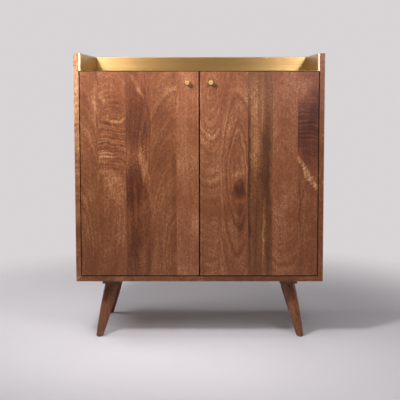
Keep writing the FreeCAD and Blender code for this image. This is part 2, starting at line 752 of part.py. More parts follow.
def shelf_leaf():
    """The front half, lying folded on the fixed half with its working face down."""
    start = LEAF_AXIS_Y + LEAF_EDGE_GAP
    end = BACK_FACE - LEAF_BACK_GAP
    reach = SIDE_FACE - LEAF_SIDE_GAP
    board = block((-reach, reach), (start, end), (LEAF_LOW, LEAF_LOW + LEAF_THICKNESS))
    notch_start = Vector(0, end, LEAF_LOW - OVERCUT)
    notch = rod(notch_start, UPWARD, FINGER_NOTCH_RADIUS, LEAF_THICKNESS + 2 * OVERCUT)
    board = board.cut(notch)
    board = eased(board, lambda p: near(p.y, end))
    cuts = [moving_plate_recess(x) for x in BUTT_PLACES]
    cuts += [screw_hole(SMALL_SCREW, seat, UPWARD) for seat in leaf_butt_screws()]
    return board.cut(cuts)


def plate_block(x, z, near_side):
    """A hinge plate's flat part, from its board's edge, or from the pin, back into the board."""
    half = BUTT_LENGTH / 2
    return block(
        (x - half, x + half),
        (LEAF_AXIS_Y + near_side, LEAF_AXIS_Y + LEAF_EDGE_GAP + BUTT_PLATE_WIDTH),
        z,
    )


def fixed_plate_recess(x):
    return plate_block(x, (SHELF_HEIGHT - BUTT_PLATE, SHELF_HEIGHT + OVERCUT), 0)


def moving_plate_recess(x):
    return plate_block(x, (LEAF_LOW - OVERCUT, LEAF_LOW + BUTT_PLATE), 0)


def knuckle_spans(x, odd):
    """The X spans of one plate's knuckles: even ones on the fixed plate, odd ones on the leaf's."""
    pitch = BUTT_LENGTH / KNUCKLE_COUNT
    start = x - BUTT_LENGTH / 2
    spans = []
    for i in range(odd, KNUCKLE_COUNT, 2):
        spans.append((start + i * pitch + KNUCKLE_GAP / 2, start + (i + 1) * pitch - KNUCKLE_GAP / 2))
    return spans


def butt_plate(x, odd, plate_z, seats, direction):
    """One plate of a butt hinge with its knuckles."""
    plate = plate_block(x, plate_z, LEAF_EDGE_GAP)
    for low, high in knuckle_spans(x, odd):
        barrel = rod(Vector(low, LEAF_AXIS_Y, LEAF_AXIS_Z), RIGHTWARD, KNUCKLE_RADIUS, high - low)
        neck = block((low, high), (LEAF_AXIS_Y, LEAF_AXIS_Y + LEAF_EDGE_GAP + NECK_LAP), plate_z)
        plate = plate.fuse([barrel, neck])
    bore_start = Vector(x - BUTT_LENGTH, LEAF_AXIS_Y, LEAF_AXIS_Z)
    bore = rod(bore_start, RIGHTWARD, LEAF_PIN_RADIUS + RUNNING_FIT, 2 * BUTT_LENGTH)
    holes = [screw_hole(SMALL_SCREW, seat, direction) for seat in seats if abs(seat.x - x) < BUTT_LENGTH / 2]
    return plate.removeSplitter().cut([bore] + holes)


def shelf_hinge_fixed_plates():
    z = (SHELF_HEIGHT - BUTT_PLATE, SHELF_HEIGHT)
    plates = [butt_plate(x, 0, z, fixed_butt_screws(), -UPWARD) for x in BUTT_PLACES]
    return Part.makeCompound(plates)


def shelf_hinge_leaf_plates():
    z = (LEAF_LOW, LEAF_LOW + BUTT_PLATE)
    plates = [butt_plate(x, 1, z, leaf_butt_screws(), UPWARD) for x in BUTT_PLACES]
    return Part.makeCompound(plates)


def shelf_hinge_pins():
    pins = []
    for x in BUTT_PLACES:
        start = Vector(x - BUTT_LENGTH / 2, LEAF_AXIS_Y, LEAF_AXIS_Z)
        pins.append(rod(start, RIGHTWARD, LEAF_PIN_RADIUS, BUTT_LENGTH))
    return Part.makeCompound(pins)


def right_leaf_cleat():
    """A short batten on the side board that the leaf's front corner comes down on."""
    batten = block(
        (SIDE_FACE - CLEAT_WIDTH, SIDE_FACE),
        (LEAF_FRONT, LEAF_FRONT + CLEAT_LENGTH),
        (SHELF_UNDERSIDE - CLEAT_HEIGHT, SHELF_UNDERSIDE),
    )
    return batten.cut([screw_hole(CLEAT_SCREW, seat, RIGHTWARD) for seat in right_cleat_screws()])


def inner_shelf():
    left = BOARD / 2 + INNER_SHELF_SIDE_GAP
    right = SIDE_FACE - INNER_SHELF_SIDE_GAP
    board = block(
        (left, right),
        (FRONT + INNER_SHELF_SETBACK, BACK_FACE - INNER_SHELF_BACK_GAP),
        (INNER_SHELF_BOTTOM, INNER_SHELF_BOTTOM + BOARD),
    )
    return eased(board, lambda p: near(p.y, FRONT + INNER_SHELF_SETBACK) and near(p.x, (left + right) / 2))


def shelf_pegs():
    pegs = []
    for y in PEG_DEPTHS:
        in_side = Vector(SIDE_FACE + PEG_SOCKET, y, INNER_SHELF_HEIGHT)
        in_divider = Vector(BOARD / 2 - PEG_SOCKET, y, INNER_SHELF_HEIGHT)
        pegs.append(rod(in_side, -RIGHTWARD, PEG_RADIUS, PEG_LENGTH))
        pegs.append(rod(in_divider, RIGHTWARD, PEG_RADIUS, PEG_LENGTH))
    return Part.makeCompound(pegs)


def rack_upright_places():
    pitch = RACK_CELL_WIDTH + RACK_BOARD
    return [RACK_LEFT + i * pitch - RACK_BOARD for i in range(1, RACK_COLUMNS)]


def rack_shelf_places():
    pitch = RACK_CELL_HEIGHT + RACK_BOARD
    return [CASE_FLOOR + i * pitch - RACK_BOARD for i in range(1, RACK_ROWS)]


def rack_uprights():
    """Boards slotted from the rear, so that they drop over the slots of the rack's shelves."""
    middle = (RACK_FRONT + RACK_BACK) / 2
    boards = []
    for x in rack_upright_places():
        board = block((x, x + RACK_BOARD), (RACK_FRONT, RACK_BACK), (CASE_FLOOR, RACK_TOP))
        slots = [
            block(
                (x - OVERCUT, x + RACK_BOARD + OVERCUT),
                (middle, RACK_BACK + OVERCUT),
                (z - RACK_FIT, z + RACK_BOARD + RACK_FIT),
            )
            for z in rack_shelf_places()
        ]
        boards.append(board.cut(slots))
    return Part.makeCompound(boards)


def rack_shelves():
    """Boards slotted from the front, between the side board and the divider."""
    middle = (RACK_FRONT + RACK_BACK) / 2
    boards = []
    for z in rack_shelf_places():
        board = block((RACK_LEFT, RACK_RIGHT), (RACK_FRONT, RACK_BACK), (z, z + RACK_BOARD))
        slots = [
            block(
                (x - RACK_FIT, x + RACK_BOARD + RACK_FIT),
                (RACK_FRONT - OVERCUT, middle),
                (z - OVERCUT, z + RACK_BOARD + OVERCUT),
            )
            for x in rack_upright_places()
        ]
        boards.append(board.cut(slots))
    return Part.makeCompound(boards)


def hanger_stems():
    start = FRONT + HANGER_SETBACK
    holes = [screw_hole(HANGER_SCREW, seat, -UPWARD) for seat in hanger_screws()]
    stems = []
    for x in HANGER_PLACES:
        stem = block(
            (x - STEM_WIDTH / 2, x + STEM_WIDTH / 2),
            (start, start + HANGER_LENGTH),
            (STEM_BOTTOM, CEILING),
        )
        stems.append(stem.cut(holes))
    return Part.makeCompound(stems)


def hanger_lips():
    """The boards under the stems, whose edges carry the feet of the glasses."""
    start = FRONT + HANGER_SETBACK
    lips = []
    for x in HANGER_PLACES:
        lip = block(
            (x - LIP_WIDTH / 2, x + LIP_WIDTH / 2),
            (start, start + HANGER_LENGTH),
            (STEM_BOTTOM - LIP_THICKNESS, STEM_BOTTOM),
        )
        lips.append(eased(lip, lambda p: near(p.y, start) and near(abs(p.x - x), 0)))
    return Part.makeCompound(lips)


# ---- Doors, their hinges and catches ----
def cup_bore(z):
    return rod(Vector(CUP_X, DOOR_BACK, z), -BACKWARD, CUP_RADIUS, CUP_DEPTH)


def arm_notch(z):
    """The slot from the door's edge to the cup that the fixed arm passes through as it opens."""
    half = ARM_HEIGHT / 2 + ARM_NOTCH_GAP
    return block(
        (PIN_X + NOTCH_PAST_PIN, DOOR_OUTER + OVERCUT),
        (FRONT + NOTCH_FROM_FACE, DOOR_BACK + FLANGE + OVERCUT),
        (z - half, z + half),
    )


def door_right():
    board = block((DOOR_INNER, DOOR_OUTER), (FRONT, DOOR_BACK), (DOOR_BOTTOM, DOOR_TOP))
    board = eased(board, lambda p: near(p.y, FRONT))
    cuts = [cup_bore(z) for z in HINGE_HEIGHTS]
    cuts += [arm_notch(z) for z in HINGE_HEIGHTS]
    cuts += [screw_hole(SMALL_SCREW, seat, -BACKWARD) for seat in right_cup_screws()]
    cuts += [screw_hole(KNOB_SCREW, knob_screw_seat(), -BACKWARD)]
    cuts += [screw_hole(SMALL_SCREW, strike_screw_seat(), -BACKWARD)]
    return board.cut(cuts)


def right_hinge_cup(z):
    """A pressed cup with its flange, open at the side for the arm."""
    centre = Vector(CUP_X, DOOR_BACK, z)
    shell = rod(centre, -BACKWARD, CUP_RADIUS - FIXING_FIT, CUP_DEPTH)
    rim = rod(centre, BACKWARD, CUP_RADIUS + CUP_WALL, FLANGE)
    flange = block(
        (CUP_X - FLANGE_FAR, CUP_X + FLANGE_NEAR),
        (DOOR_BACK, DOOR_BACK + FLANGE),
        (z - FLANGE_HALF_HEIGHT, z + FLANGE_HALF_HEIGHT),
    )
    hollow = rod(
        centre + BACKWARD * (FLANGE + OVERCUT),
        -BACKWARD,
        CUP_RADIUS - CUP_WALL,
        FLANGE + OVERCUT + CUP_DEPTH - CUP_FLOOR,
    )
    body = shell.fuse([rim, flange]).removeSplitter()
    cuts = [hollow, arm_notch(z), hinge_pin(z, FIXING_FIT)]
    cuts += [screw_hole(SMALL_SCREW, seat, -BACKWARD) for seat in right_cup_screws()]
    return body.cut(cuts)


def hinge_pin(z, fit=0.0):
    half = CUP_RADIUS - CUP_WALL / 2 + fit
    return rod(Vector(PIN_X, PIN_Y, z - half), UPWARD, PIN_RADIUS + fit, 2 * half)


def hinge_cups_right():
    return Part.makeCompound([right_hinge_cup(z) for z in HINGE_HEIGHTS])


def hinge_pins_right():
    return Part.makeCompound([hinge_pin(z) for z in HINGE_HEIGHTS])


def right_hinge_arm(z):
    """A cranked arm from the eye on the pin, out of the cup and down onto the plate's rib."""
    half = ARM_THICKNESS / 2
    bend = PIN_Y + ARM_STRAIGHT
    landing = bend + ARM_SLOPE
    end = FRONT + ARM_END
    rest = SIDE_FACE - PLATE_RISE
    outline = [
        (PIN_X - half, PIN_Y),
        (PIN_X + half, PIN_Y),
        (PIN_X + half, bend),
        (rest, landing),
        (rest, end),
        (rest - ARM_THICKNESS, end),
        (rest - ARM_THICKNESS, landing + half),
        (PIN_X - half, bend + half),
    ]
    low = z - ARM_HEIGHT / 2
    points = [Vector(px, py, low) for px, py in outline]
    arm = Part.Face(Part.makePolygon(points + points[:1])).extrude(UPWARD * ARM_HEIGHT)
    eye = rod(Vector(PIN_X, PIN_Y, low), UPWARD, EYE_RADIUS, ARM_HEIGHT)
    bore_start = Vector(PIN_X, PIN_Y, low - OVERCUT)
    bore = rod(bore_start, UPWARD, PIN_RADIUS + RUNNING_FIT, ARM_HEIGHT + 2 * OVERCUT)
    return arm.fuse(eye).removeSplitter().cut(bore)


def right_hinge_plate(z):
    """A winged mounting plate on the side board."""
    rib = block(
        (SIDE_FACE - PLATE_RISE, SIDE_FACE),
        (FRONT + PLATE_START, FRONT + ARM_END),
        (z - PLATE_HEIGHT / 2, z + PLATE_HEIGHT / 2),
    )
    middle = FRONT + WING_FROM_FACE
    wing = block(
        (SIDE_FACE - WING_THICKNESS, SIDE_FACE),
        (middle - WING_WIDTH / 2, middle + WING_WIDTH / 2),
        (z - WING_HEIGHT / 2, z + WING_HEIGHT / 2),
    )
    body = rib.fuse(wing).removeSplitter()
    return body.cut([screw_hole(PLATE_SCREW, seat, RIGHTWARD) for seat in right_plate_screws()])


def knob_right():
    """A plain turned knob with a tapped hole for its screw."""
    knob = rod(Vector(KNOB_X, FRONT, KNOB_Z), -BACKWARD, KNOB_RADIUS, KNOB_LENGTH)
    end = FRONT - KNOB_LENGTH
    rim = [edge for edge in knob.Edges if near(edge.BoundBox.YMax, end)]
    knob = knob.makeFillet(EDGE_EASE, rim)
    hole = rod(Vector(KNOB_X, FRONT, KNOB_Z), -BACKWARD, KNOB_SCREW.radius + FIXING_FIT, KNOB_THREAD_DEPTH)
    return knob.cut(hole)


def magnet_block(fit=0.0):
    middle = CEILING - CATCH_HEIGHT / 2
    half = MAGNET_WIDTH / 2 + fit
    return block(
        (CATCH_X - half, CATCH_X + half),
        (CATCH_FRONT - MAGNET_PROUD, CATCH_FRONT + MAGNET_DEPTH + fit),
        (middle - MAGNET_HEIGHT / 2 - fit, middle + MAGNET_HEIGHT / 2 + fit),
    )


def right_catch():
    """A catch housing under the top board, with a pocket for its magnet."""
    half = CATCH_WIDTH / 2
    housing = block(
        (CATCH_X - half, CATCH_X + half),
        (CATCH_FRONT, CATCH_FRONT + CATCH_DEPTH),
        (CEILING - CATCH_HEIGHT, CEILING),
    )
    middle = CEILING - CATCH_HEIGHT / 2
    housing = eased(housing, lambda p: near(p.z, middle))
    cuts = [magnet_block(FIXING_FIT)]
    cuts += [screw_hole(CATCH_SCREW, seat, UPWARD) for seat in right_catch_screws()]
    return housing.cut(cuts)


def strike_plate_right():
    middle = strike_screw_seat().z
    plate = block(
        (CATCH_X - STRIKE_WIDTH / 2, CATCH_X + STRIKE_WIDTH / 2),
        (DOOR_BACK, DOOR_BACK + STRIKE_THICKNESS),
        (middle - STRIKE_HEIGHT / 2, middle + STRIKE_HEIGHT / 2),
    )
    return plate.cut(screw_hole(SMALL_SCREW, strike_screw_seat(), -BACKWARD))


# ---- Screws, grouped by the piece they hold ----
def screws(kind, seats, direction):
    return Part.makeCompound([screw(kind, seat, direction) for seat in seats])


def screws_both_sides(kind, seats, direction):
    return Part.makeCompound(both_sides([screw(kind, seat, direction) for seat in seats]))


def pieces():
    """Every node's name and shape."""
    named = {
        "side_board_left": side_board_left(),
        "side_board_right": side_board_right(),
        "bottom_board": bottom_board(),
        "top_board": top_board(),
        "back_rail": back_rail(),
        "back_panel": back_panel(),
        "mitre_splines": mitre_splines(),
        "case_dowels": case_dowels(),
        "tray_floor": tray_floor(),
        "tray_lining_back": back_lining(),
        "tray_cores": Part.makeCompound([back_lining_core()] + both_sides([right_lining_core()])),
        "centre_divider": centre_divider(),
        "fixed_shelf": fixed_shelf(),
        "inner_shelf": inner_shelf(),
        "shelf_pegs": shelf_pegs(),
        "rack_uprights": rack_uprights(),
        "rack_shelves": rack_shelves(),
        "hanger_stems": hanger_stems(),
        "hanger_lips": hanger_lips(),
        "leaf_cleats": Part.makeCompound(both_sides([right_leaf_cleat()])),
        "hinge_arms": Part.makeCompound(both_sides([right_hinge_arm(z) for z in HINGE_HEIGHTS])),
        "hinge_plates": Part.makeCompound(both_sides([right_hinge_plate(z) for z in HINGE_HEIGHTS])),
        "catch_housings": Part.makeCompound(both_sides([right_catch()])),
        "catch_magnets": Part.makeCompound(both_sides([magnet_block()])),
        "shelf_hinge_fixed_plates": shelf_hinge_fixed_plates(),
        "shelf_hinge_pins": shelf_hinge_pins(),
        "shelf_leaf": shelf_leaf(),
        "shelf_hinge_leaf_plates": shelf_hinge_leaf_plates(),
        "shelf_leaf_screws": screws(SMALL_SCREW, leaf_butt_screws(), UPWARD),
        "fixed_shelf_screws": screws(SMALL_SCREW, fixed_butt_screws(), -UPWARD),
        "back_panel_screws": screws(BACK_SCREW, back_screws(), -BACKWARD),
        "hanger_screws": screws(HANGER_SCREW, hanger_screws(), -UPWARD),
        "cleat_screws": screws_both_sides(CLEAT_SCREW, right_cleat_screws(), RIGHTWARD),
        "catch_screws": screws_both_sides(CATCH_SCREW, right_catch_screws(), UPWARD),
        "hinge_plate_screws": screws_both_sides(PLATE_SCREW, right_plate_screws(), RIGHTWARD),
        "leg_rail_screws": screws_both_sides(RAIL_SCREW, right_rail_screws(), UPWARD),
    }
    handed = {
        "tray_lining": right_lining(),
        "leg_rail": leg_rail_right(),
        "door": door_right(),
        "hinge_cups": hinge_cups_right(),
        "hinge_pins": hinge_pins_right(),
        "knob": knob_right(),
        "strike_plate": strike_plate_right(),
        "door_screws": Part.makeCompound(
            [screw(SMALL_SCREW, seat, -BACKWARD) for seat in right_cup_screws() + [strike_screw_seat()]]
            + [screw(KNOB_SCREW, knob_screw_seat(), -BACKWARD)]
        ),
    }
    for name, shape in handed.items():
        named[name + "_right"] = shape
        named[name + "_left"] = mirrored(shape)
    for corner, leg in at_each_leg(rear_right_leg()).items():
        named["leg_" + corner] = leg
    named["leg_inserts"] = Part.makeCompound(list(at_each_leg(rear_right_insert()).values()))
    named["leg_bolts"] = Part.makeCompound(list(at_each_leg(rear_right_bolt()).values()))
    named["leg_glides"] = Part.makeCompound(list(at_each_leg(rear_right_glide()).values()))
    return named


os.makedirs("parts", exist_ok=True)
for node, shape in pieces().items():
    shape.exportStep(os.path.join("parts", node + ".step"))
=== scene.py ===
"""Looks of the bar cabinet: its woods, brass and fittings, on a pale floor under soft lamps."""

import math
import random
from collections import namedtuple

import bpy
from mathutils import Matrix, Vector


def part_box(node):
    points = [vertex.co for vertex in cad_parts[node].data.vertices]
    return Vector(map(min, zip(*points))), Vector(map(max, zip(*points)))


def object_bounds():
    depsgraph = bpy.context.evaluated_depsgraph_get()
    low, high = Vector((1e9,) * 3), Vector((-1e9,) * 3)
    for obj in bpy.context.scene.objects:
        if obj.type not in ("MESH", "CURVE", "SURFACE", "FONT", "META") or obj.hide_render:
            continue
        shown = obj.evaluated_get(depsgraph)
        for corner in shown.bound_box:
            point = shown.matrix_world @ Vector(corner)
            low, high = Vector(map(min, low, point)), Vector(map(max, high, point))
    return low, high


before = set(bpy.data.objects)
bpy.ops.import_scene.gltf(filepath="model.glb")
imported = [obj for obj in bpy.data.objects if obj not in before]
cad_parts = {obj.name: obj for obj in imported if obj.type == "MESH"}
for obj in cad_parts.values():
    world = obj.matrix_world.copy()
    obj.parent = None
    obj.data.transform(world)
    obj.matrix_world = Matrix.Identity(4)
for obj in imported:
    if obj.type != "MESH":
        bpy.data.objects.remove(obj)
cad_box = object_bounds()

X, Y, Z = 0, 1, 2


# ---- Node shorthand ----
class Value:
    """An output of a node, so that sums on it can be written as sums."""

    def __init__(self, finish, socket):
        self.finish = finish
        self.socket = socket

    def _sum(self, operation, first, second):
        return self.finish.node("ShaderNodeMath", {"operation": operation}, {0: first, 1: second})

    def __add__(self, other):
        return self._sum("ADD", self, other)

    def __radd__(self, other):
        return self._sum("ADD", other, self)

    def __sub__(self, other):
        return self._sum("SUBTRACT", self, other)

    def __rsub__(self, other):
        return self._sum("SUBTRACT", other, self)

    def __mul__(self, other):
        return self._sum("MULTIPLY", self, other)

    def __rmul__(self, other):
        return self._sum("MULTIPLY", other, self)

    def __truediv__(self, other):
        return self._sum("DIVIDE", self, other)

    def __rtruediv__(self, other):
        return self._sum("DIVIDE", other, self)


class Finish:
    """A material or world and the nodes that make it."""

    def __init__(self, holder):
        self.holder = holder
        holder.use_nodes = True
        self.tree = holder.node_tree
        self.tree.nodes.clear()

    def node(self, kind, settings=None, inputs=None, output=0):
        """Adds a node. Its settings are set first, then its sockets' values or links."""
        made = self.tree.nodes.new(kind)
        for name, setting in (settings or {}).items():
            if name == "stops":
                set_stops(made.color_ramp, setting)
            elif name == "ramp_interpolation":
                made.color_ramp.interpolation = setting
            else:
                setattr(made, name, setting)
        for name, value in (inputs or {}).items():
            if isinstance(value, Value):
                self.tree.links.new(value.socket, made.inputs[name])
            else:
                made.inputs[name].default_value = value
        return Value(self, made.outputs[output]) if made.outputs else None

    # -- numbers --
    def ease(self, value, low, high):
        """0 up to low, 1 from high, and a smooth change between."""
        settings = {"interpolation_type": "SMOOTHSTEP"}
        inputs = {"Value": value, "From Min": low, "From Max": high}
        return self.node("ShaderNodeMapRange", settings, inputs)

    def root(self, value):
        """The square root."""
        return self.node("ShaderNodeMath", {"operation": "SQRT"}, {0: value})

    def sine(self, value):
        return self.node("ShaderNodeMath", {"operation": "SINE"}, {0: value})

    # -- places --
    def place(self):
        """Where a point of the piece is at rest, in metres, as three numbers."""
        at = self.node("ShaderNodeTexCoord", output="Object")
        return [self.node("ShaderNodeSeparateXYZ", None, {0: at}, axis) for axis in (X, Y, Z)]

    def vector(self, x, y, z):
        """Three numbers as one place."""
        return self.node("ShaderNodeCombineXYZ", None, {"X": x, "Y": y, "Z": z})

    # -- patterns --
    def noise(self, at, detail):
        """Soft noise round 0.5, one unit of the place to a spot."""
        return self.node("ShaderNodeTexNoise", None, {"Vector": at, "Scale": 1.0, "Detail": detail})

    def line_noise(self, along):
        """The same along one line."""
        inputs = {"W": along, "Scale": 1.0, "Detail": 2.0}
        return self.node("ShaderNodeTexNoise", {"noise_dimensions": "1D"}, inputs)

    def spots(self, to_a_metre, detail):
        """Noise with so many spots to a metre along each of X, Y and Z."""
        at = [way * number for way, number in zip(self.place(), to_a_metre)]
        return self.noise(self.vector(*at), detail)

    # -- colours --
    def ramp(self, value, stops, interpolation="LINEAR"):
        """The colour that the stops give each value."""
        settings = {"stops": stops, "ramp_interpolation": interpolation}
        return self.node("ShaderNodeValToRGB", settings, {"Fac": value})

    def blend(self, share, first, second):
        """The first colour where share is 0 and the second where it is 1."""
        return self.node("ShaderNodeMix", {"data_type": "RGBA"}, {0: share, 6: first, 7: second}, 2)

    # -- surfaces --
    def bump(self, height, distance):
        """A relief that is distance deep where the height goes from 0 to 1."""
        return self.node("ShaderNodeBump", None, {"Height": height, "Distance": distance})

    def surface(self, **sockets):
        """The plain shader with these sockets set, as the material's surface."""
        inputs = {name.replace("_", " "): value for name, value in sockets.items()}
        shader = self.node("ShaderNodeBsdfPrincipled", None, inputs)
        self.node("ShaderNodeOutputMaterial", None, {"Surface": shader})
        return self.holder


def set_stops(ramp, stops):
    """Gives a ramp its stops: pairs of a position and a colour."""
    while len(ramp.elements) < len(stops):
        ramp.elements.new(1.0)
    for element, (position, tone) in zip(ramp.elements, stops):
        element.position = position
        element.color = tone


def new_finish(name):
    return Finish(bpy.data.materials.new(name))


def colour(red, green, blue):
    """A colour given as it looks on a screen, 0 to 255, for a shader."""
    linear = []
    for channel in (red, green, blue):
        c = channel / 255
        linear.append(c / 12.92 if c <= 0.04045 else ((c + 0.055) / 1.055) ** 2.4)
    return (*linear, 1.0)


def two_tones(dark, light):
    """Stops that turn soft noise into two tones of one colour."""
    return [(0.3, dark), (0.7, light)]


# ---- Wood ----
# Which of X, Y and Z run across the staves, through the board and along the grain.
UPRIGHT = (Y, X, Z)  # a side board, its staves side by side from front to back
LEVEL = (Y, Z, X)  # a shelf
FACING = (X, Y, Z)  # a panel that faces the front
RAIL = (Z, Y, X)  # the rail along the back
BATTEN = (X, Z, Y)  # a strip that runs from front to back

# A panel is glued up from staves, and end is where a stave ends across the panel. Each is cut from
# its own log: heart is where the middle of the growth rings meets the surface, so the rings show as
# arches above it and below it, and squash is their width as a share of their height. From 0 to 1,
# tone says how light a stave is, red how reddish, and rings, ripple and ribbon how strong those are.
Stave = namedtuple("Stave", "end tone red rings heart_across heart_along squash ripple ribbon")
# Marks in the figure: a patch that is lighter or darker, leaning to one side as it goes up.
Mark = namedtuple("Mark", "across along half_width half_length lean lift")

# Noise in the wood: its spots to a metre across the staves, through the board and along the grain,
# how far the number of a stave shifts it each way, so that no two match, and how detailed it is.
Grain = namedtuple("Grain", "to_a_metre shift detail")
WANDER = Grain((22, 12, 7), (7, 0, 0), 2.0)  # bends the growth rings slowly
DRIFT = Grain((46, 12, 26), (0, 5, 0), 3.0)  # and more quickly
RIBBONS = Grain((110, 40, 2.2), (3, 0, 0), 2.0)  # long bands up a stave
STREAKS = Grain((420, 420, 14), (0, 0, 1), 2.0)  # short lines along the grain
CLOUDS = Grain((14, 9, 7), (9, 0, 0), 2.0)  # wide soft patches
MOTTLE = Grain((150, 150, 85), (0, 0, 1), 2.0)
FLECKS = Grain((340, 340, 170), (0, 0, 1), 1.0)
PORES = Grain((900, 900, 90), (0, 0, 0), 1.0)

# Sizes in the figure, in metres where nothing else is said.
HEART_RANGE = 1.6  # where a heart can be, across or along, half of it either side of the origin
HEART_DEPTH = 0.012  # of the middle of the rings, below the surface
HEART_SLANT = 0.05  # how much deeper it gets, to a metre through the board
RING_PITCH = 0.006
RINGS_BETWEEN_STAVES = 13  # how many rings the pattern moves on from one stave to the next
RING_BEND = 0.03  # how far WANDER moves the rings across
RING_WAVE = (0.008, 0.012)  # how far DRIFT moves them across and along
MARK_WAVE = (0.03, 0.035)  # how far DRIFT and WANDER move the edge of a mark across and along
MARK_MIDDLE = 0.05  # the share of a mark's area that is full, the rest fading
SAME_STAVE = 0.4  # within this much of a stave's number
RIPPLE_PITCH = 0.0075
RIPPLES_ACROSS = 9  # to a metre
RIPPLE_BOW = 3  # times the square of how far aside of the heart, how far along a ripple bows
RIPPLE_BEND = (3, 1.5)  # how many ripples WANDER and DRIFT move them along

# How much the parts of the figure lighten and darken the wood.
RING_LIFT = 0.5
CLOUD_LIFT = 0.34
RIBBON_LIFT = 0.08  # besides what a stave has of its own
STREAK_LIFT = 0.15
MOTTLE_LIFT = 0.36
FLECK_LIFT = 0.11
RIPPLE_LIFT = 0.6
# How far the clouds strengthen and weaken the rings and the flecks, and how far the mottle and the
# ribbons do that to the marks.
RING_BREAK = 1.6
FLECK_BREAK = 0.5
MARK_BREAK = 1.4
# Thin even lines beside the rings: radians to a ring, and how strong they are.
THIN_RINGS = 2.6
THIN_RING_LIFT = 0.1

# Where in the noise the flecks and pores begin and are full.
PALE_FLECKS = (0.04, 0.18)
DARK_FLECKS = (0.04, 0.16)
DARK_FLECK_SHARE = 0.7  # of the strength of the pale ones
PORE_EDGES = (0.12, 0.24)
PORE_SHARE = 0.35  # of their own colour
PORE_COLOUR = colour(44, 24, 16)

# The oiled surface: how rough it is, how much the grain and the pores add to that, how deep its
# relief is, and how much of it the streaks and the pores have.
OILED_ROUGHNESS = 0.42
GRAIN_DULLING = 0.12
PORE_DULLING = 0.2
WOOD_RELIEF = 0.0002
STREAK_HEIGHT = 0.3
PORE_DEPTH = 0.7

REDDISH = [
    (0.0, colour(48, 16, 5)),
    (0.25, colour(80, 35, 13)),
    (0.5, colour(121, 67, 38)),
    (0.75, colour(158, 104, 71)),
    (1.0, colour(196, 152, 118)),
]
OLIVE = [
    (0.0, colour(43, 20, 6)),
    (0.25, colour(74, 39, 16)),
    (0.5, colour(114, 69, 37)),
    (0.75, colour(152, 106, 67)),
    (1.0, colour(188, 150, 110)),
]


class Panel:
    """A staved panel as its finish sees it: where a point lies and what its stave is like."""

    def __init__(self, finish, order, start, staves):
        self.finish = finish
        self.start = start
        self.staves = staves
        place = finish.place()
        self.across, self.through, self.along = (place[axis] for axis in order)

        self.tone, self.red, self.rings = self.read([(s.tone, s.red, s.rings) for s in staves])
        numbers = [(s.ripple, s.ribbon, s.squash) for s in staves]
        self.ripple, self.ribbon, self.squash = self.read(numbers)
        numbers = [
            (
                stave.heart_across / HEART_RANGE + 0.5,
                stave.heart_along / HEART_RANGE + 0.5,
                (number + 0.5) / len(staves),
            )
            for number, stave in enumerate(staves)
        ]
        heart_across, heart_along, turn = self.read(numbers)
        self.beside_heart = self.across - (heart_across - 0.5) * HEART_RANGE
        self.above_heart = self.along - (heart_along - 0.5) * HEART_RANGE
        self.number = turn * len(staves)  # 0.5 in the first stave, 1.5 in the next

        self.wander = self.grain(WANDER)
        self.drift = self.grain(DRIFT)
        self.mark_across = self.across + self.drift * MARK_WAVE[0]
        self.mark_along = self.along + self.wander * MARK_WAVE[1]

    def read(self, numbers):
        """Three numbers of each stave, none below 0 or above 1, as they change over the panel."""
        length = self.staves[-1].end - self.start
        lefts = [self.start] + [stave.end for stave in self.staves[:-1]]
        stops = [
            ((left - self.start) / length, (*three, 1.0)) for left, three in zip(lefts, numbers)
        ]
        packed = self.finish.ramp((self.across - self.start) / length, stops, "CONSTANT")
        return [
            self.finish.node("ShaderNodeSeparateColor", None, {0: packed}, output)
            for output in range(3)
        ]

    def grain(self, kind):
        """Noise of that kind, round 0."""
        at = []
        for way, spots, shift in zip(
            (self.across, self.through, self.along), kind.to_a_metre, kind.shift
        ):
            at.append(way * spots + self.number * shift if shift else way * spots)
        return self.finish.noise(self.finish.vector(*at), kind.detail) - 0.5

    def growth_rings(self):
        """The arches of the rings, round 0."""
        wide = self.beside_heart + self.wander * RING_BEND + self.drift * RING_WAVE[0]
        tall = self.above_heart * self.squash + self.drift * RING_WAVE[1]
        deep = self.through * HEART_SLANT + HEART_DEPTH
        radius = self.finish.root(wide * wide + tall * tall + deep * deep)
        ring = radius / RING_PITCH + self.number * RINGS_BETWEEN_STAVES
        thin = self.finish.sine(ring * THIN_RINGS) * THIN_RING_LIFT
        return self.finish.line_noise(ring) - 0.5 + thin

    def share(self, mark):
        """1 in the middle of a mark, 0 from its edge on and 0 outside the stave that holds it."""
        up = self.mark_along - mark.along
        side = (self.mark_across - mark.across - up * mark.lean) / mark.half_width
        up = up / mark.half_length
        inside = 1 - self.finish.ease(side * side + up * up, MARK_MIDDLE, 1.0)
        holder = next(i for i, stave in enumerate(self.staves) if mark.across < stave.end)
        settings = {"operation": "COMPARE"}
        inputs = {0: self.number, 1: holder + 0.5, 2: SAME_STAVE}
        return inside * self.finish.node("ShaderNodeMath", settings, inputs)

    def curl(self, ripples):
        """Ripples over the grain, as strong as the stave and the marks for them say."""
        amount = self.ripple * RIPPLE_LIFT
        skew = 0.0
        for mark in ripples:
            share = self.share(mark)
            amount = amount + share * mark.lift
            skew = share * mark.lean + skew
        side = self.beside_heart
        bowed = self.along + side * side * RIPPLE_BOW + skew * side
        bent = self.wander * RIPPLE_BEND[0] + self.drift * RIPPLE_BEND[1]
        at = self.finish.vector(
            self.across * RIPPLES_ACROSS + self.number,
            self.through * RIPPLES_ACROSS,
            bowed / RIPPLE_PITCH + bent,
        )
        return (self.finish.noise(at, 1.0) - 0.5) * amount


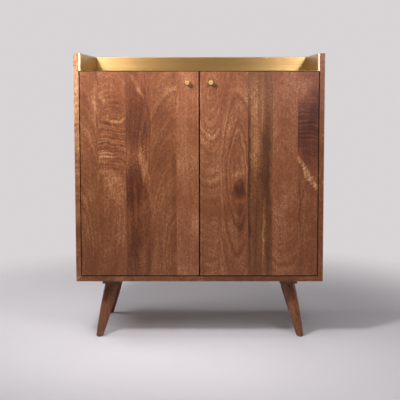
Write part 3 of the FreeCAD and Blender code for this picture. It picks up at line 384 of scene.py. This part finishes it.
def figured_wood(name, order, start, staves, marks=(), ripples=()):
    """Oiled wood of a panel that lies as order says, with its first stave from start on."""
    finish = new_finish(name)
    panel = Panel(finish, order, start, staves)
    ribbons = panel.grain(RIBBONS)
    streaks = panel.grain(STREAKS)
    clouds = panel.grain(CLOUDS)
    mottle = panel.grain(MOTTLE)
    fine = panel.grain(FLECKS)
    dark_flecks = finish.ease(0 - fine, *DARK_FLECKS)
    flecks = finish.ease(fine, *PALE_FLECKS) - dark_flecks * DARK_FLECK_SHARE
    pores = finish.ease(panel.grain(PORES), *PORE_EDGES)

    figure = (
        panel.tone
        + panel.growth_rings() * panel.rings * (clouds * RING_BREAK + RING_LIFT)
        + clouds * CLOUD_LIFT
        + ribbons * (panel.ribbon + RIBBON_LIFT)
        + streaks * STREAK_LIFT
        + mottle * MOTTLE_LIFT
        + flecks * (clouds * FLECK_BREAK + FLECK_LIFT)
    )
    broken = mottle * MARK_BREAK + ribbons * MARK_BREAK + 1
    for mark in marks:
        figure = figure + panel.share(mark) * mark.lift * broken
    figure = figure + panel.curl(ripples)

    painted = finish.blend(panel.red, finish.ramp(figure, OLIVE), finish.ramp(figure, REDDISH))
    return finish.surface(
        Base_Color=finish.blend(pores * PORE_SHARE, painted, PORE_COLOUR),
        Roughness=(streaks + clouds) * GRAIN_DULLING + pores * PORE_DULLING + OILED_ROUGHNESS,
        Normal=finish.bump(streaks * STREAK_HEIGHT - pores * PORE_DEPTH, WOOD_RELIEF),
    )


STAVE_WIDTHS = (0.065, 0.115)
NARROWEST_STAVE = 0.05
HEART_ASIDE = 0.03  # how far outside its stave the heart may be
HEART_LIMIT = 0.75  # and from the origin


def mixed_staves(start, end, seed, tone):
    """Staves of random width and figure that fill a plain panel."""
    chance = random.Random(seed)
    staves = []
    left = start
    while left < end:
        right = left + chance.uniform(*STAVE_WIDTHS)
        if end - right < NARROWEST_STAVE:
            right = end
        edges = (left - HEART_ASIDE, right + HEART_ASIDE)
        staves.append(
            Stave(
                end=right,
                tone=tone + chance.uniform(-0.07, 0.08),
                red=chance.uniform(0.35, 1.0),
                rings=chance.uniform(0.2, 0.6),
                heart_across=max(-HEART_LIMIT, min(HEART_LIMIT, chance.uniform(*edges))),
                heart_along=chance.uniform(-0.7, 0.6),
                squash=chance.uniform(0.12, 0.3),
                ripple=chance.choice((0.0, 0.0, 0.15, 0.4)),
                ribbon=chance.choice((0.0, 0.1, 0.5)),
            )
        )
        left = right
    return staves


DOOR_START = -0.44
# end, tone, red, rings, heart across and along, squash, ripple, ribbon
DOOR_STAVES = [
    Stave(-0.3644, 0.50, 0.60, 0.45, -0.440, 0.30, 0.22, 0.00, 0.10),
    Stave(-0.2654, 0.50, 0.80, 0.30, -0.335, 0.45, 0.25, 0.10, 0.05),
    Stave(-0.1770, 0.42, 0.80, 0.35, -0.200, 0.72, 0.10, 0.00, 0.15),
    Stave(-0.0840, 0.48, 0.60, 0.45, -0.080, 0.30, 0.26, 0.10, 0.05),
    Stave(0.0000, 0.56, 0.90, 0.25, -0.030, 0.70, 0.12, 0.00, 0.10),
    Stave(0.0709, 0.53, 0.70, 0.60, 0.040, 0.905, 0.34, 0.12, 0.05),
    Stave(0.1729, 0.51, 0.75, 0.75, 0.140, 0.610, 0.19, 0.00, 0.10),
    Stave(0.2617, 0.44, 0.30, 0.20, 0.215, 0.30, 0.10, 0.00, 0.40),
    Stave(0.3513, 0.54, 1.00, 0.42, 0.303, 0.680, 0.33, 0.04, 0.05),
    Stave(0.4400, 0.49, 0.95, 0.30, 0.400, 0.20, 0.14, 0.05, 0.10),
]
# across, along, half width, half length, lean, lift
DOOR_MARKS = [
    Mark(-0.378, 0.860, 0.012, 0.090, 0.0, 0.10),
    Mark(-0.400, 0.300, 0.036, 0.110, 0.0, -0.07),
    Mark(-0.345, 0.885, 0.014, 0.030, -0.3, 0.14),  # pale wisps at the top of the second stave
    Mark(-0.320, 0.860, 0.060, 0.040, 0.0, -0.06),
    Mark(-0.295, 0.812, 0.036, 0.009, 0.2, 0.22),
    Mark(-0.335, 0.800, 0.030, 0.010, 0.0, -0.14),
    Mark(-0.300, 0.560, 0.050, 0.080, -0.3, 0.15),
    Mark(-0.225, 0.800, 0.070, 0.120, 0.0, -0.13),  # dark heart of the third stave
    Mark(-0.238, 0.570, 0.038, 0.120, 0.0, -0.17),
    Mark(-0.196, 0.620, 0.016, 0.130, -0.22, 0.14),
    Mark(-0.230, 0.500, 0.010, 0.110, 0.0, 0.12),
    Mark(-0.232, 0.350, 0.027, 0.170, 0.0, -0.11),
    Mark(-0.221, 0.925, 0.009, 0.060, -0.50, 0.20),
    Mark(-0.135, 0.740, 0.050, 0.200, 0.0, -0.05),
    Mark(-0.020, 0.440, 0.012, 0.050, 0.0, 0.10),
    Mark(0.022, 0.735, 0.036, 0.030, 0.8, 0.05),  # pale fans below the arches of the sixth stave
    Mark(0.050, 0.640, 0.026, 0.040, 0.4, 0.05),
    Mark(0.146, 0.556, 0.032, 0.046, 0.0, -0.24),  # knot, with its pale rim
    Mark(0.140, 0.616, 0.030, 0.012, 0.0, 0.12),
    Mark(0.147, 0.508, 0.026, 0.010, 0.0, 0.10),
    Mark(0.152, 0.440, 0.024, 0.080, 0.0, -0.12),
    Mark(0.178, 0.560, 0.008, 0.340, 0.0, -0.16),  # stripes of the eighth stave
    Mark(0.199, 0.760, 0.018, 0.280, 0.0, 0.14),
    Mark(0.238, 0.640, 0.020, 0.200, 0.0, -0.17),
    Mark(0.252, 0.520, 0.012, 0.460, 0.0, -0.10),
    Mark(0.232, 0.410, 0.004, 0.190, 0.062, 0.12),
    Mark(0.400, 0.780, 0.090, 0.200, 0.0, -0.22),  # dark top of the last stave
    Mark(0.425, 0.850, 0.030, 0.090, 0.3, -0.10),
    Mark(0.370, 0.915, 0.050, 0.060, 0.3, 0.14),
    Mark(0.388, 0.623, 0.016, 0.085, -0.60, 0.30),  # and the pale curl below it
    Mark(0.362, 0.500, 0.006, 0.130, 0.0, -0.14),
]
DOOR_RIPPLES = [
    Mark(-0.315, 0.705, 0.090, 0.130, 0.0, 0.90),
    Mark(-0.320, 0.870, 0.060, 0.070, -0.3, 0.45),
    Mark(-0.295, 0.575, 0.050, 0.060, -0.8, 0.50),
    Mark(-0.110, 0.450, 0.050, 0.140, -1.4, 0.35),
    Mark(0.030, 0.735, 0.050, 0.050, -0.9, 0.45),
    Mark(0.040, 0.640, 0.050, 0.050, -0.9, 0.45),
    Mark(0.303, 0.400, 0.050, 0.140, 0.8, 0.15),
    Mark(0.395, 0.790, 0.080, 0.180, 0.1, 0.60),
    Mark(0.388, 0.623, 0.026, 0.095, -0.60, 0.90),
]
# A painted highlight: the front of the left side is made paler, most near the top, where the lamp
# from the left lights it.
PAINTED_SIDE_HIGHLIGHT = [
    Mark(-0.225, 1.00, 0.05, 0.56, 0.0, 0.22),  # painted highlight on the front edge
]
# Pieces of one stave, which reaches past them on both sides.
LEG_START = -0.8
LEG_STAVES = [Stave(0.8, 0.50, 0.45, 0.35, 0.35, -0.5, 0.16, 0.0, 0.3)]
BACK_RAIL_START = 0.9
BACK_RAIL_STAVES = [Stave(1.1, 0.5, 0.7, 0.4, 0.75, -0.3, 0.2, 0.0, 0.2)]
BATTEN_START = -0.5
BATTEN_STAVES = [Stave(0.5, 0.46, 0.8, 0.3, 0.6, -0.5, 0.2, 0.0, 0.3)]


BARE_GRAIN = 400  # spots to a metre
BARE_TONES = two_tones(colour(176, 138, 96), colour(204, 170, 126))
BARE_ROUGHNESS = 0.6


def bare_wood(name):
    """Pale wood of dowels, tongues and cores, left unfinished."""
    finish = new_finish(name)
    grain = finish.spots([BARE_GRAIN] * 3, 3.0)
    return finish.surface(
        Base_Color=finish.ramp(grain, BARE_TONES),
        Roughness=grain * 0.15 + BARE_ROUGHNESS,
        Normal=finish.bump(grain, WOOD_RELIEF),
    )


# ---- Brass, steel and plastic ----
SHEET_BRASS = two_tones(colour(190, 154, 98), colour(214, 176, 118))
# Paler brass painted along the front edge of the linings as a highlight, for the light it catches.
PAINTED_EDGE_HIGHLIGHT = colour(226, 206, 172)
EDGE_HIGHLIGHT_ENDS = (0.0006, 0.0012)  # how far behind the front edge the painted highlight begins to fade and has faded
NO_EDGE_HIGHLIGHT = -1.0  # a front edge that lies ahead of the whole cabinet, so no highlight is painted
# Spots to a metre along the brushed lines and over them, and how detailed they are.
FINE_LINES = (4, 2600, 3.0)
BROAD_LINES = (2, 240, 2.0)
SHEET_ROUGHNESS = 0.28
LINE_DULLING = 0.08
EDGE_DULLING = 0.25
LINE_RELIEF = 0.00008
QUARTER_TURN = 0.25
KNOB_BRASS = two_tones(colour(206, 168, 98), colour(224, 190, 120))
KNOB_ROUGHNESS = 0.45
LATHE_RINGS = 3000  # to a metre
HANDLING_MARKS = 160  # to a metre
METAL_RELIEF = 0.00003
PLASTIC_SPOTS = 1800  # to a metre
PLASTIC_ROUGHNESS = 0.45
PLASTIC_RELIEF = 0.00005


def line_spots(finish, line_step, along_lines, over_lines, detail):
    """Noise drawn out into lines, which lie side by side along the axis line_step."""
    to_a_metre = [along_lines] * 3
    to_a_metre[line_step] = over_lines
    return finish.spots(to_a_metre, detail)


def brushed_sheet(name, line_step, front, stretch):
    """Brass sheet brushed in straight lines, which lie side by side along the axis line_step.

    Its front edge, at front, is left duller and is painted paler, a painted highlight for the
    light that the edge catches. Stretch says how far a highlight is drawn out over the lines.
    """
    finish = new_finish(name)
    lines = line_spots(finish, line_step, *FINE_LINES)
    broad = line_spots(finish, line_step, *BROAD_LINES)
    # painted highlight: a paler brass along the front edge, fading out just behind it
    edge_highlight = 1 - finish.ease(finish.place()[Y], *(front + end for end in EDGE_HIGHLIGHT_ENDS))
    sheet = finish.ramp(lines * 0.5 + broad * 0.5, SHEET_BRASS)
    return finish.surface(
        Base_Color=finish.blend(edge_highlight, sheet, PAINTED_EDGE_HIGHLIGHT),
        Metallic=1.0,
        Roughness=broad * LINE_DULLING + edge_highlight * EDGE_DULLING + SHEET_ROUGHNESS,
        Anisotropic=stretch,
        Anisotropic_Rotation=QUARTER_TURN,
        Normal=finish.bump(lines, LINE_RELIEF),
    )


def turned_brass(name, centre_x, centre_z):
    """Satin brass of a knob, with the faint rings that the lathe leaves on its end."""
    finish = new_finish(name)
    x, y, z = finish.place()
    u = x - centre_x
    v = z - centre_z
    rings = finish.line_noise(finish.root(u * u + v * v) * LATHE_RINGS)
    rounds = finish.line_noise(y * LATHE_RINGS)
    return finish.surface(
        Base_Color=finish.ramp(rings * 0.5 + rounds * 0.5, KNOB_BRASS),
        Metallic=1.0,
        Roughness=rings * 0.1 + KNOB_ROUGHNESS,
        Normal=finish.bump(rings + rounds, METAL_RELIEF),
    )


def plain_metal(name, dark, light, roughness):
    """Plated or plain metal of small hardware, with slight handling marks."""
    finish = new_finish(name)
    marks = finish.spots([HANDLING_MARKS] * 3, 4.0)
    return finish.surface(
        Base_Color=finish.ramp(marks, two_tones(dark, light)),
        Metallic=1.0,
        Roughness=marks * 0.15 + roughness,
        Normal=finish.bump(marks, METAL_RELIEF),
    )


def moulded_plastic(name, dark, light):
    """Fine-textured dark plastic."""
    finish = new_finish(name)
    texture = finish.spots([PLASTIC_SPOTS] * 3, 2.0)
    return finish.surface(
        Base_Color=finish.ramp(texture, two_tones(dark, light)),
        Roughness=texture * 0.2 + PLASTIC_ROUGHNESS,
        Normal=finish.bump(texture, PLASTIC_RELIEF),
    )


# ---- Putting the finishes on ----
def dress(material, *nodes):
    """Gives CAD nodes a finish."""
    for node in nodes:
        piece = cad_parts[node]
        piece.data.materials.clear()
        piece.data.materials.append(material)


case_low, case_high = cad_box


def deep_board(name, order, seed, tone, marks=()):
    """Wood of a board whose staves lie side by side from the front of the case to its back."""
    staves = mixed_staves(case_low[Y], case_high[Y], seed, tone)
    return figured_wood(name, order, case_low[Y], staves, marks)


dress(
    figured_wood("door staves", FACING, DOOR_START, DOOR_STAVES, DOOR_MARKS, DOOR_RIPPLES),
    "door_left",
    "door_right",
)
# Painted light and shade: the left side's tone is set lighter and the right side's darker, as the
# lamps from the left light them.
dress(deep_board("left side", UPRIGHT, 3, 0.54, PAINTED_SIDE_HIGHLIGHT), "side_board_left")
dress(deep_board("right side", UPRIGHT, 5, 0.46), "side_board_right")
# The bottom board's darker tone is partly its own and partly painted shade, as the light falls from
# above.
dress(deep_board("bottom board", LEVEL, 8, 0.38), "bottom_board")
dress(
    deep_board("level boards", LEVEL, 13, 0.50),
    "top_board",
    "fixed_shelf",
    "inner_shelf",
    "rack_shelves",
)
dress(deep_board("folding leaf", LEVEL, 21, 0.52), "shelf_leaf")
dress(deep_board("upright boards", UPRIGHT, 34, 0.48), "centre_divider", "rack_uprights")
back_staves = mixed_staves(case_low[X], case_high[X], 55, 0.48)
dress(figured_wood("back panel", FACING, case_low[X], back_staves), "back_panel")
dress(figured_wood("back rail", RAIL, BACK_RAIL_START, BACK_RAIL_STAVES), "back_rail")
dress(
    figured_wood("battens and rails", BATTEN, BATTEN_START, BATTEN_STAVES),
    "leaf_cleats",
    "hanger_stems",
    "hanger_lips",
    "leg_rail_left",
    "leg_rail_right",
)
dress(
    figured_wood("turned legs", FACING, LEG_START, LEG_STAVES),
    "leg_front_left",
    "leg_front_right",
    "leg_rear_left",
    "leg_rear_right",
)
dress(bare_wood("bare wood"), "case_dowels", "mitre_splines", "tray_cores")
LINING_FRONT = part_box("tray_lining_left")[0].y
dress(
    brushed_sheet("brushed linings", Z, LINING_FRONT, 0.75),
    "tray_lining_left",
    "tray_lining_right",
    "tray_lining_back",
)
dress(brushed_sheet("brushed tray floor", Y, NO_EDGE_HIGHLIGHT, 0.0), "tray_floor")
for side in ("left", "right"):
    low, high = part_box("knob_" + side)
    middle = (low + high) / 2
    dress(turned_brass("knob brass " + side, middle.x, middle.z), "knob_" + side)
dress(
    plain_metal("hinge brass", colour(186, 150, 86), colour(208, 172, 104), 0.28),
    "shelf_hinge_fixed_plates",
    "shelf_hinge_leaf_plates",
    "shelf_hinge_pins",
    "shelf_leaf_screws",
    "fixed_shelf_screws",
    "leg_inserts",
)
dress(
    plain_metal("nickel plate", colour(178, 178, 180), colour(200, 200, 202), 0.24),
    "hinge_cups_left",
    "hinge_cups_right",
    "hinge_arms",
    "hinge_plates",
    "hinge_pins_left",
    "hinge_pins_right",
    "hinge_plate_screws",
    "door_screws_left",
    "door_screws_right",
    "strike_plate_left",
    "strike_plate_right",
    "shelf_pegs",
)
dress(
    plain_metal("zinc plate", colour(160, 158, 150), colour(184, 182, 172), 0.34),
    "back_panel_screws",
    "hanger_screws",
    "cleat_screws",
    "catch_screws",
    "leg_rail_screws",
    "leg_bolts",
)
dress(plain_metal("magnet", colour(84, 84, 88), colour(110, 110, 114), 0.36), "catch_magnets")
dress(
    moulded_plastic("brown plastic", colour(44, 34, 30), colour(58, 46, 40)),
    "catch_housings",
    "leg_glides",
)


# ---- Floor and room ----
FLOOR_RADIUS = 6.0
FLOOR_CORNERS = 64
FLOOR_FADE = (0.7, 1.7)  # how far out the floor begins to fade into the room and has done so
FLOOR_SPOTS = 0.7  # to a metre
FLOOR_TONES = two_tones(colour(222, 217, 222), colour(228, 224, 229))
ROOM = colour(216, 212, 214)
ROOM_IN_FRONT = colour(100, 95, 92)  # as polished metal sees it, on the front's side
ROOM_TURN = (-0.7, 0.5)  # how far back a reflection looks where it is dim and where it is pale
SOFT_LIGHT = 0.09  # from all round


def floor_disc():
    """A pale floor that takes the cabinet's shadow and fades out into the room."""
    angles = [2 * math.pi * i / FLOOR_CORNERS for i in range(FLOOR_CORNERS)]
    corners = [(FLOOR_RADIUS * math.cos(a), FLOOR_RADIUS * math.sin(a), 0.0) for a in angles]
    mesh = bpy.data.meshes.new("floor")
    mesh.from_pydata(corners, [], [range(FLOOR_CORNERS)])
    floor = bpy.data.objects.new("floor", mesh)
    bpy.context.scene.collection.objects.link(floor)
    finish = new_finish("pale floor")
    painted = finish.ramp(finish.spots([FLOOR_SPOTS] * 3, 2.0), FLOOR_TONES)
    inputs = {"Base Color": painted, "Roughness": 0.75}
    shader = finish.node("ShaderNodeBsdfPrincipled", None, inputs)
    clear = finish.node("ShaderNodeBsdfTransparent")
    x, y, _ = finish.place()
    away = finish.ease(finish.root(x * x + y * y), *FLOOR_FADE)
    fading = finish.node("ShaderNodeMixShader", None, {0: away, 1: shader, 2: clear})
    finish.node("ShaderNodeOutputMaterial", None, {"Surface": fading})
    mesh.materials.append(finish.holder)


def surroundings():
    """A pale room, dimmer in reflections from the front's side, and soft light from all round."""
    world = bpy.data.worlds.new("room")
    bpy.context.scene.world = world
    finish = Finish(world)
    way = finish.node("ShaderNodeTexCoord", output="Generated")
    depth = finish.node("ShaderNodeSeparateXYZ", None, {0: way}, Y)
    mirrored = finish.blend(finish.ease(depth, *ROOM_TURN), ROOM_IN_FRONT, ROOM)
    direct, glossy, through = (
        finish.node("ShaderNodeLightPath", output=name)
        for name in ("Is Camera Ray", "Is Glossy Ray", "Is Transmission Ray")
    )
    seen = finish.blend(direct + through, mirrored, ROOM)
    soft = finish.node("ShaderNodeBackground", None, {0: (1.0, 1.0, 1.0, 1.0), 1: SOFT_LIGHT})
    pale = finish.node("ShaderNodeBackground", None, {0: seen, 1: 1.0})
    shown = direct + glossy + through
    mixed = finish.node("ShaderNodeMixShader", None, {0: shown, 1: soft, 2: pale})
    finish.node("ShaderNodeOutputWorld", None, {"Surface": mixed})


# ---- Lamps ----
# What a lamp is for: to light surfaces, to show in the polished ones, or both.
LIGHT, GLINT, BOTH = "light", "glint", "both"
GLINT_COLOUR = (0.94, 1.0, 1.1)  # a little cool, which keeps the highlights on brass pale
WIDE, NARROW, SPOT = 180, 120, 50  # how far a lamp spreads, in degrees

Lamp = namedtuple("Lamp", "name place aim width height watts spread use")
LAMPS = [
    Lamp("key", (-0.72, -0.95, 1.55), (0.0, 0.0, 1.0), 0.2, 0.2, 2.0, NARROW, BOTH),
    Lamp("left fill", (-0.68, -1.10, 1.52), (0.0, 0.0, 1.0), 0.2, 0.2, 9.8, NARROW, LIGHT),
    Lamp("left softbox", (-0.85, -1.20, 1.70), (0.0, 0.0, 1.0), 0.5, 0.3, 9.0, NARROW, GLINT),
    Lamp("right softbox", (0.85, -1.60, 1.62), (0.0, 0.0, 1.15), 0.3, 0.3, 9.2, NARROW, GLINT),
    Lamp("right fill", (0.76, -1.60, 1.62), (0.0, 0.0, 1.15), 0.7, 0.7, 7.4, NARROW, LIGHT),
    Lamp("rear softbox", (-1.6, 0.1, 1.9), (0.0, 0.2, 0.9), 0.8, 0.8, 14.0, WIDE, BOTH),
    Lamp("side softbox", (2.6, 0.2, 0.85), (0.45, 0.0, 0.80), 0.8, 0.8, 2.2, SPOT, LIGHT),
    Lamp("back softbox", (0.3, 2.7, 0.90), (0.0, 0.23, 0.85), 0.8, 0.8, 2.0, SPOT, LIGHT),
    Lamp("high softbox", (-0.6, 0.0, 3.2), (-0.2, 0.0, 0.0), 2.4, 2.4, 10.0, WIDE, BOTH),
    Lamp("front softbox", (-0.5, -1.3, 3.0), (0.0, -0.2, 0.3), 1.6, 1.6, 17.5, WIDE, BOTH),
]


def hang(lamp):
    """Hangs a lamp and aims it."""
    light = bpy.data.lights.new(lamp.name, "AREA")
    light.spread = math.radians(lamp.spread)
    light.shape = "RECTANGLE"
    light.size = lamp.width
    light.size_y = lamp.height
    light.energy = lamp.watts
    if lamp.use == GLINT:
        light.color = GLINT_COLOUR
    piece = bpy.data.objects.new(lamp.name, light)
    bpy.context.scene.collection.objects.link(piece)
    piece.visible_camera = False
    piece.visible_diffuse = lamp.use != GLINT
    piece.visible_glossy = lamp.use != LIGHT
    piece.location = lamp.place
    way = Vector(lamp.aim) - Vector(lamp.place)
    piece.rotation_euler = way.to_track_quat("-Z", "Y").to_euler()


# ---- Camera ----
CAMERA_PLACE = (0.0559, -3.3378, 0.9374)
CAMERA_TILT = 4.98  # degrees below level
CAMERA_LENS = 78.18
CAMERA_SENSOR = 36.0
CAMERA_SHIFT = (-0.0371, -0.10)


def camera():
    """The view of the cabinet from the front, a little to the right of its middle."""
    lens = bpy.data.cameras.new("camera")
    lens.lens = CAMERA_LENS
    lens.sensor_width = CAMERA_SENSOR
    lens.shift_x, lens.shift_y = CAMERA_SHIFT
    piece = bpy.data.objects.new("camera", lens)
    piece.location = CAMERA_PLACE
    piece.rotation_euler = (math.radians(90 - CAMERA_TILT), 0.0, 0.0)
    bpy.context.scene.collection.objects.link(piece)
    bpy.context.scene.camera = piece


floor_disc()
surroundings()
for lamp in LAMPS:
    hang(lamp)
camera()

scene = bpy.context.scene
scene.view_settings.view_transform = "Standard"
